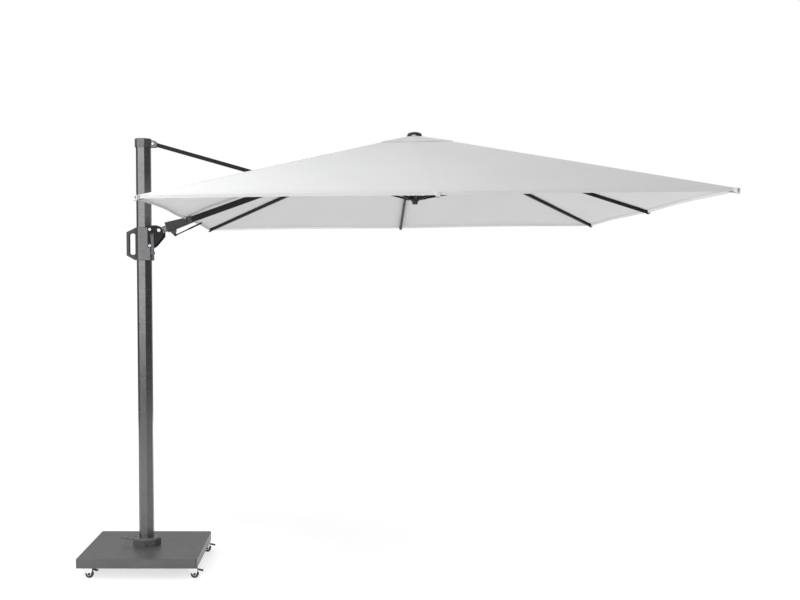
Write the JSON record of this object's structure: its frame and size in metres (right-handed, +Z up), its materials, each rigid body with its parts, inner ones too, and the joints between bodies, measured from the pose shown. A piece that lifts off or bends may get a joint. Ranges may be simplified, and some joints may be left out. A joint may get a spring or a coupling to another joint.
{
  "type": "cantilever parasol",
  "caption": "Cantilever parasol: square pyramid canopy on folding ribs, hung from a boom and strut on a turning mast with a sliding carriage, over a weighted square base on casters.",
  "frame": {"origin": "on the floor, under the mast's axis at the centre of the base", "axes": "+Z up, +X from the mast towards the canopy's hub, +Y to the far side"},
  "size_m": [3.6267, 3.029, 2.8051],
  "materials": {
    "base_paint": "satin",
    "steel": "satin",
    "concrete": "matte",
    "socket_paint": "satin",
    "bright_steel": "satin",
    "nylon": "satin",
    "mast_paint": "satin",
    "frame_paint": "satin",
    "moulding": "matte",
    "grey_moulding": "matte",
    "grey_metal": "satin",
    "chrome": "polished",
    "tyre": "matte",
    "tread_plastic": "matte",
    "canopy_cloth": "matte"
  },
  "bodies": {
    "base": {"base_cover": "base_paint", "base_tray": "steel", "ballast_slab": "concrete", "foot_socket": "socket_paint", "base_bolts": "bright_steel", "turn_bush": "nylon", "caster_plates": "bright_steel"},
    "foot_pedal": {"foot_pedal": "socket_paint"},
    "mast": {"mast_tube": "mast_paint", "mast_spigot": "steel", "mast_head": "moulding", "strut_pin": "bright_steel"},
    "carriage": {"carriage_shell": "moulding", "carriage_liner": "nylon", "carriage_handle": "moulding", "boom_bracket": "frame_paint", "carriage_bolts": "bright_steel", "boom_pin": "bright_steel"},
    "lock_lever": {"lock_lever": "grey_moulding"},
    "boom_neck": {"boom_neck": "grey_metal"},
    "boom": {"boom_tube": "frame_paint", "boom_sleeve": "moulding", "collar_bush": "nylon", "canopy_hub": "moulding", "hub_pins": "bright_steel", "finial": "moulding", "canopy": "canopy_cloth", "vent_flap": "canopy_cloth"},
    "strut_collar": {"strut_collar": "frame_paint"},
    "strut": {"strut": "frame_paint"},
    "tilt_lever": {"tilt_lever": "frame_paint"},
    "runner": {"runner": "moulding", "runner_knob": "moulding"},
    "caster_swivel_near_left": {"caster_fork_near_left": "chrome"},
    "caster_wheel_near_left": {"caster_wheel_near_left": "tyre"},
    "brake_pedal_near_left": {"brake_pedal_near_left": "tread_plastic"},
    "caster_swivel_near_right": {"caster_fork_near_right": "chrome"},
    "caster_wheel_near_right": {"caster_wheel_near_right": "tyre"},
    "brake_pedal_near_right": {"brake_pedal_near_right": "tread_plastic"},
    "caster_swivel_far_left": {"caster_fork_far_left": "chrome"},
    "caster_wheel_far_left": {"caster_wheel_far_left": "tyre"},
    "brake_pedal_far_left": {"brake_pedal_far_left": "tread_plastic"},
    "caster_swivel_far_right": {"caster_fork_far_right": "chrome"},
    "caster_wheel_far_right": {"caster_wheel_far_right": "tyre"},
    "brake_pedal_far_right": {"brake_pedal_far_right": "tread_plastic"},
    "rib_mid_right": {"rib_mid_right": "frame_paint"},
    "stretcher_mid_right": {"stretcher_mid_right": "frame_paint"},
    "rib_far_right": {"rib_far_right": "frame_paint"},
    "stretcher_far_right": {"stretcher_far_right": "frame_paint"},
    "rib_far_mid": {"rib_far_mid": "frame_paint"},
    "stretcher_far_mid": {"stretcher_far_mid": "frame_paint"},
    "rib_far_left": {"rib_far_left": "frame_paint"},
    "stretcher_far_left": {"stretcher_far_left": "frame_paint"},
    "rib_near_left": {"rib_near_left": "frame_paint"},
    "stretcher_near_left": {"stretcher_near_left": "frame_paint"},
    "rib_near_mid": {"rib_near_mid": "frame_paint"},
    "stretcher_near_mid": {"stretcher_near_mid": "frame_paint"},
    "rib_near_right": {"rib_near_right": "frame_paint"},
    "stretcher_near_right": {"stretcher_near_right": "frame_paint"}
  },
  "joints": [
    {"name": "caster_swivel_near_left", "type": "hinge", "parent": "base", "child": "caster_swivel_near_left", "pos_m": [-0.3275, -0.32, 0.06], "axis": [0, 0, 1], "continuous": true},
    {"name": "caster_roll_near_left", "type": "hinge", "parent": "caster_swivel_near_left", "child": "caster_wheel_near_left", "pos_m": [-0.3, -0.32, 0.025], "axis": [0, 1, 0], "continuous": true},
    {"name": "brake_press_near_left", "type": "hinge", "parent": "caster_swivel_near_left", "child": "brake_pedal_near_left", "pos_m": [-0.2875, -0.32, 0.055], "axis": [0, 1, 0], "range_deg": [0, 18]},
    {"name": "caster_swivel_near_right", "type": "hinge", "parent": "base", "child": "caster_swivel_near_right", "pos_m": [0.3275, -0.32, 0.06], "axis": [0, 0, 1], "continuous": true},
    {"name": "caster_roll_near_right", "type": "hinge", "parent": "caster_swivel_near_right", "child": "caster_wheel_near_right", "pos_m": [0.355, -0.32, 0.025], "axis": [0, 1, 0], "continuous": true},
    {"name": "brake_press_near_right", "type": "hinge", "parent": "caster_swivel_near_right", "child": "brake_pedal_near_right", "pos_m": [0.3675, -0.32, 0.055], "axis": [0, 1, 0], "range_deg": [0, 18]},
    {"name": "caster_swivel_far_left", "type": "hinge", "parent": "base", "child": "caster_swivel_far_left", "pos_m": [-0.3275, 0.32, 0.06], "axis": [0, 0, 1], "continuous": true},
    {"name": "caster_roll_far_left", "type": "hinge", "parent": "caster_swivel_far_left", "child": "caster_wheel_far_left", "pos_m": [-0.3, 0.32, 0.025], "axis": [0, 1, 0], "continuous": true},
    {"name": "brake_press_far_left", "type": "hinge", "parent": "caster_swivel_far_left", "child": "brake_pedal_far_left", "pos_m": [-0.2875, 0.32, 0.055], "axis": [0, 1, 0], "range_deg": [0, 18]},
    {"name": "caster_swivel_far_right", "type": "hinge", "parent": "base", "child": "caster_swivel_far_right", "pos_m": [0.3275, 0.32, 0.06], "axis": [0, 0, 1], "continuous": true},
    {"name": "caster_roll_far_right", "type": "hinge", "parent": "caster_swivel_far_right", "child": "caster_wheel_far_right", "pos_m": [0.355, 0.32, 0.025], "axis": [0, 1, 0], "continuous": true},
    {"name": "brake_press_far_right", "type": "hinge", "parent": "caster_swivel_far_right", "child": "brake_pedal_far_right", "pos_m": [0.3675, 0.32, 0.055], "axis": [0, 1, 0], "range_deg": [0, 18]},
    {"name": "foot_release", "type": "hinge", "parent": "base", "child": "foot_pedal", "pos_m": [-0.08, 0, 0.16], "axis": [0, -1, 0], "range_deg": [0, 18], "stiffness_Nm_per_rad": 2, "springref_deg": -11.46},
    {"name": "mast_turn", "type": "hinge", "parent": "base", "child": "mast", "pos_m": [0, 0, 0.15], "axis": [0, 0, 1], "continuous": true},
    {"name": "carriage_slide", "type": "slide", "parent": "mast", "child": "carriage", "axis": [0, 0, 1], "range_m": [-0.753, 0]},
    {"name": "lock_lever_swing", "type": "hinge", "parent": "carriage", "child": "lock_lever", "pos_m": [0.06, -0.059, 2.138], "axis": [0, -1, 0], "range_deg": [0, 70]},
    {"name": "boom_lift", "type": "hinge", "parent": "carriage", "child": "boom_neck", "pos_m": [0.1028, 0, 2.1709], "axis": [0, -1, 0], "range_deg": [0, 29.6]},
    {"name": "side_tilt", "type": "hinge", "parent": "boom_neck", "child": "boom", "pos_m": [0.19683, 0, 2.20494], "axis": [0.9403, 0, 0.3404], "range_deg": [-15, 15]},
    {"name": "collar_turn", "type": "hinge", "parent": "boom", "child": "strut_collar", "pos_m": [0.8918, 0, 2.45651], "axis": [0.9403, 0, 0.3404], "range_deg": [-15.1, 15.1]},
    {"name": "strut_swing", "type": "hinge", "parent": "mast", "child": "strut", "pos_m": [0.0622, 0, 2.7205], "axis": [0, 1, 0], "range_deg": [0, 33.6]},
    {"name": "tilt_lever_squeeze", "type": "hinge", "parent": "boom", "child": "tilt_lever", "pos_m": [0.18438, 0, 2.16002], "axis": [0, -1, 0], "range_deg": [0, 5], "stiffness_Nm_per_rad": 2, "springref_deg": -17.19},
    {"name": "runner_slide", "type": "slide", "parent": "boom", "child": "runner", "axis": [-0.0173, 0, 0.9999], "range_m": [-1.1, 0], "deforming": ["canopy", "vent_flap"]},
    {"name": "rib_fold_mid_right", "type": "hinge", "parent": "boom", "child": "rib_mid_right", "pos_m": [1.7915, 0, 2.75], "axis": [0, -1, 0], "range_deg": [-66.92, 0]},
    {"name": "stretcher_fold_mid_right", "type": "hinge", "parent": "rib_mid_right", "child": "stretcher_mid_right", "pos_m": [2.50242, 0, 2.51303], "axis": [0, -1, 0], "range_deg": [0, 143.7]},
    {"name": "rib_fold_far_right", "type": "hinge", "parent": "boom", "child": "rib_far_right", "pos_m": [1.77334, 0.04384, 2.74969], "axis": [0.707, -0.7071, 0.0122], "range_deg": [-72.18, 0]},
    {"name": "stretcher_fold_far_right", "type": "hinge", "parent": "rib_far_right", "child": "stretcher_far_right", "pos_m": [2.27815, 0.54562, 2.57887], "axis": [0.707, -0.7071, 0.0122], "range_deg": [0, 143.84]},
    {"name": "rib_fold_far_mid", "type": "hinge", "parent": "boom", "child": "rib_far_mid", "pos_m": [1.72951, 0.062, 2.74893], "axis": [0.9999, 0, 0.0173], "range_deg": [-66.92, 0]},
    {"name": "stretcher_fold_far_mid", "type": "hinge", "parent": "rib_far_mid", "child": "stretcher_far_mid", "pos_m": [1.73382, 0.76872, 2.49973], "axis": [0.9999, 0, 0.0173], "range_deg": [0, 143.7]},
    {"name": "rib_fold_far_left", "type": "hinge", "parent": "boom", "child": "rib_far_left", "pos_m": [1.68567, 0.04384, 2.74817], "axis": [0.707, 0.7071, 0.0122], "range_deg": [-72.18, 0]},
    {"name": "stretcher_fold_far_left", "type": "hinge", "parent": "rib_far_left", "child": "stretcher_far_left", "pos_m": [1.18707, 0.54562, 2.56], "axis": [0.707, 0.7071, 0.0122], "range_deg": [0, 143.84]},
    {"name": "rib_fold_near_left", "type": "hinge", "parent": "boom", "child": "rib_near_left", "pos_m": [1.68567, -0.04384, 2.74817], "axis": [-0.707, 0.7071, -0.0122], "range_deg": [-72.18, 0]},
    {"name": "stretcher_fold_near_left", "type": "hinge", "parent": "rib_near_left", "child": "stretcher_near_left", "pos_m": [1.18707, -0.54562, 2.56], "axis": [-0.707, 0.7071, -0.0122], "range_deg": [0, 143.84]},
    {"name": "rib_fold_near_mid", "type": "hinge", "parent": "boom", "child": "rib_near_mid", "pos_m": [1.72951, -0.062, 2.74893], "axis": [-0.9999, 0, -0.0173], "range_deg": [-66.92, 0]},
    {"name": "stretcher_fold_near_mid", "type": "hinge", "parent": "rib_near_mid", "child": "stretcher_near_mid", "pos_m": [1.73382, -0.76872, 2.49973], "axis": [-0.9999, 0, -0.0173], "range_deg": [0, 143.7]},
    {"name": "rib_fold_near_right", "type": "hinge", "parent": "boom", "child": "rib_near_right", "pos_m": [1.77334, -0.04384, 2.74969], "axis": [-0.707, -0.7071, -0.0122], "range_deg": [-72.18, 0]},
    {"name": "stretcher_fold_near_right", "type": "hinge", "parent": "rib_near_right", "child": "stretcher_near_right", "pos_m": [2.27815, -0.54562, 2.57887], "axis": [-0.707, -0.7071, -0.0122], "range_deg": [0, 143.84]}
  ],
  "couplings": [
    {"joint": "boom_lift", "follows": "carriage_slide", "rad_per_m": -0.68434},
    {"joint": "strut_swing", "follows": "carriage_slide", "rad_per_m": -0.77747},
    {"joint": "collar_turn", "follows": "side_tilt", "ratio": -1},
    {"joint": "rib_fold_mid_right", "follows": "runner_slide", "rad_per_m": 1.0611},
    {"joint": "stretcher_fold_mid_right", "follows": "runner_slide", "rad_per_m": -2.2793},
    {"joint": "rib_fold_far_right", "follows": "runner_slide", "rad_per_m": 1.1445},
    {"joint": "stretcher_fold_far_right", "follows": "runner_slide", "rad_per_m": -2.2815},
    {"joint": "rib_fold_far_mid", "follows": "runner_slide", "rad_per_m": 1.0611},
    {"joint": "stretcher_fold_far_mid", "follows": "runner_slide", "rad_per_m": -2.2793},
    {"joint": "rib_fold_far_left", "follows": "runner_slide", "rad_per_m": 1.1445},
    {"joint": "stretcher_fold_far_left", "follows": "runner_slide", "rad_per_m": -2.2815},
    {"joint": "rib_fold_near_left", "follows": "runner_slide", "rad_per_m": 1.1445},
    {"joint": "stretcher_fold_near_left", "follows": "runner_slide", "rad_per_m": -2.2815},
    {"joint": "rib_fold_near_mid", "follows": "runner_slide", "rad_per_m": 1.0611},
    {"joint": "stretcher_fold_near_mid", "follows": "runner_slide", "rad_per_m": -2.2793},
    {"joint": "rib_fold_near_right", "follows": "runner_slide", "rad_per_m": 1.1445},
    {"joint": "stretcher_fold_near_right", "follows": "runner_slide", "rad_per_m": -2.2815}
  ]
}
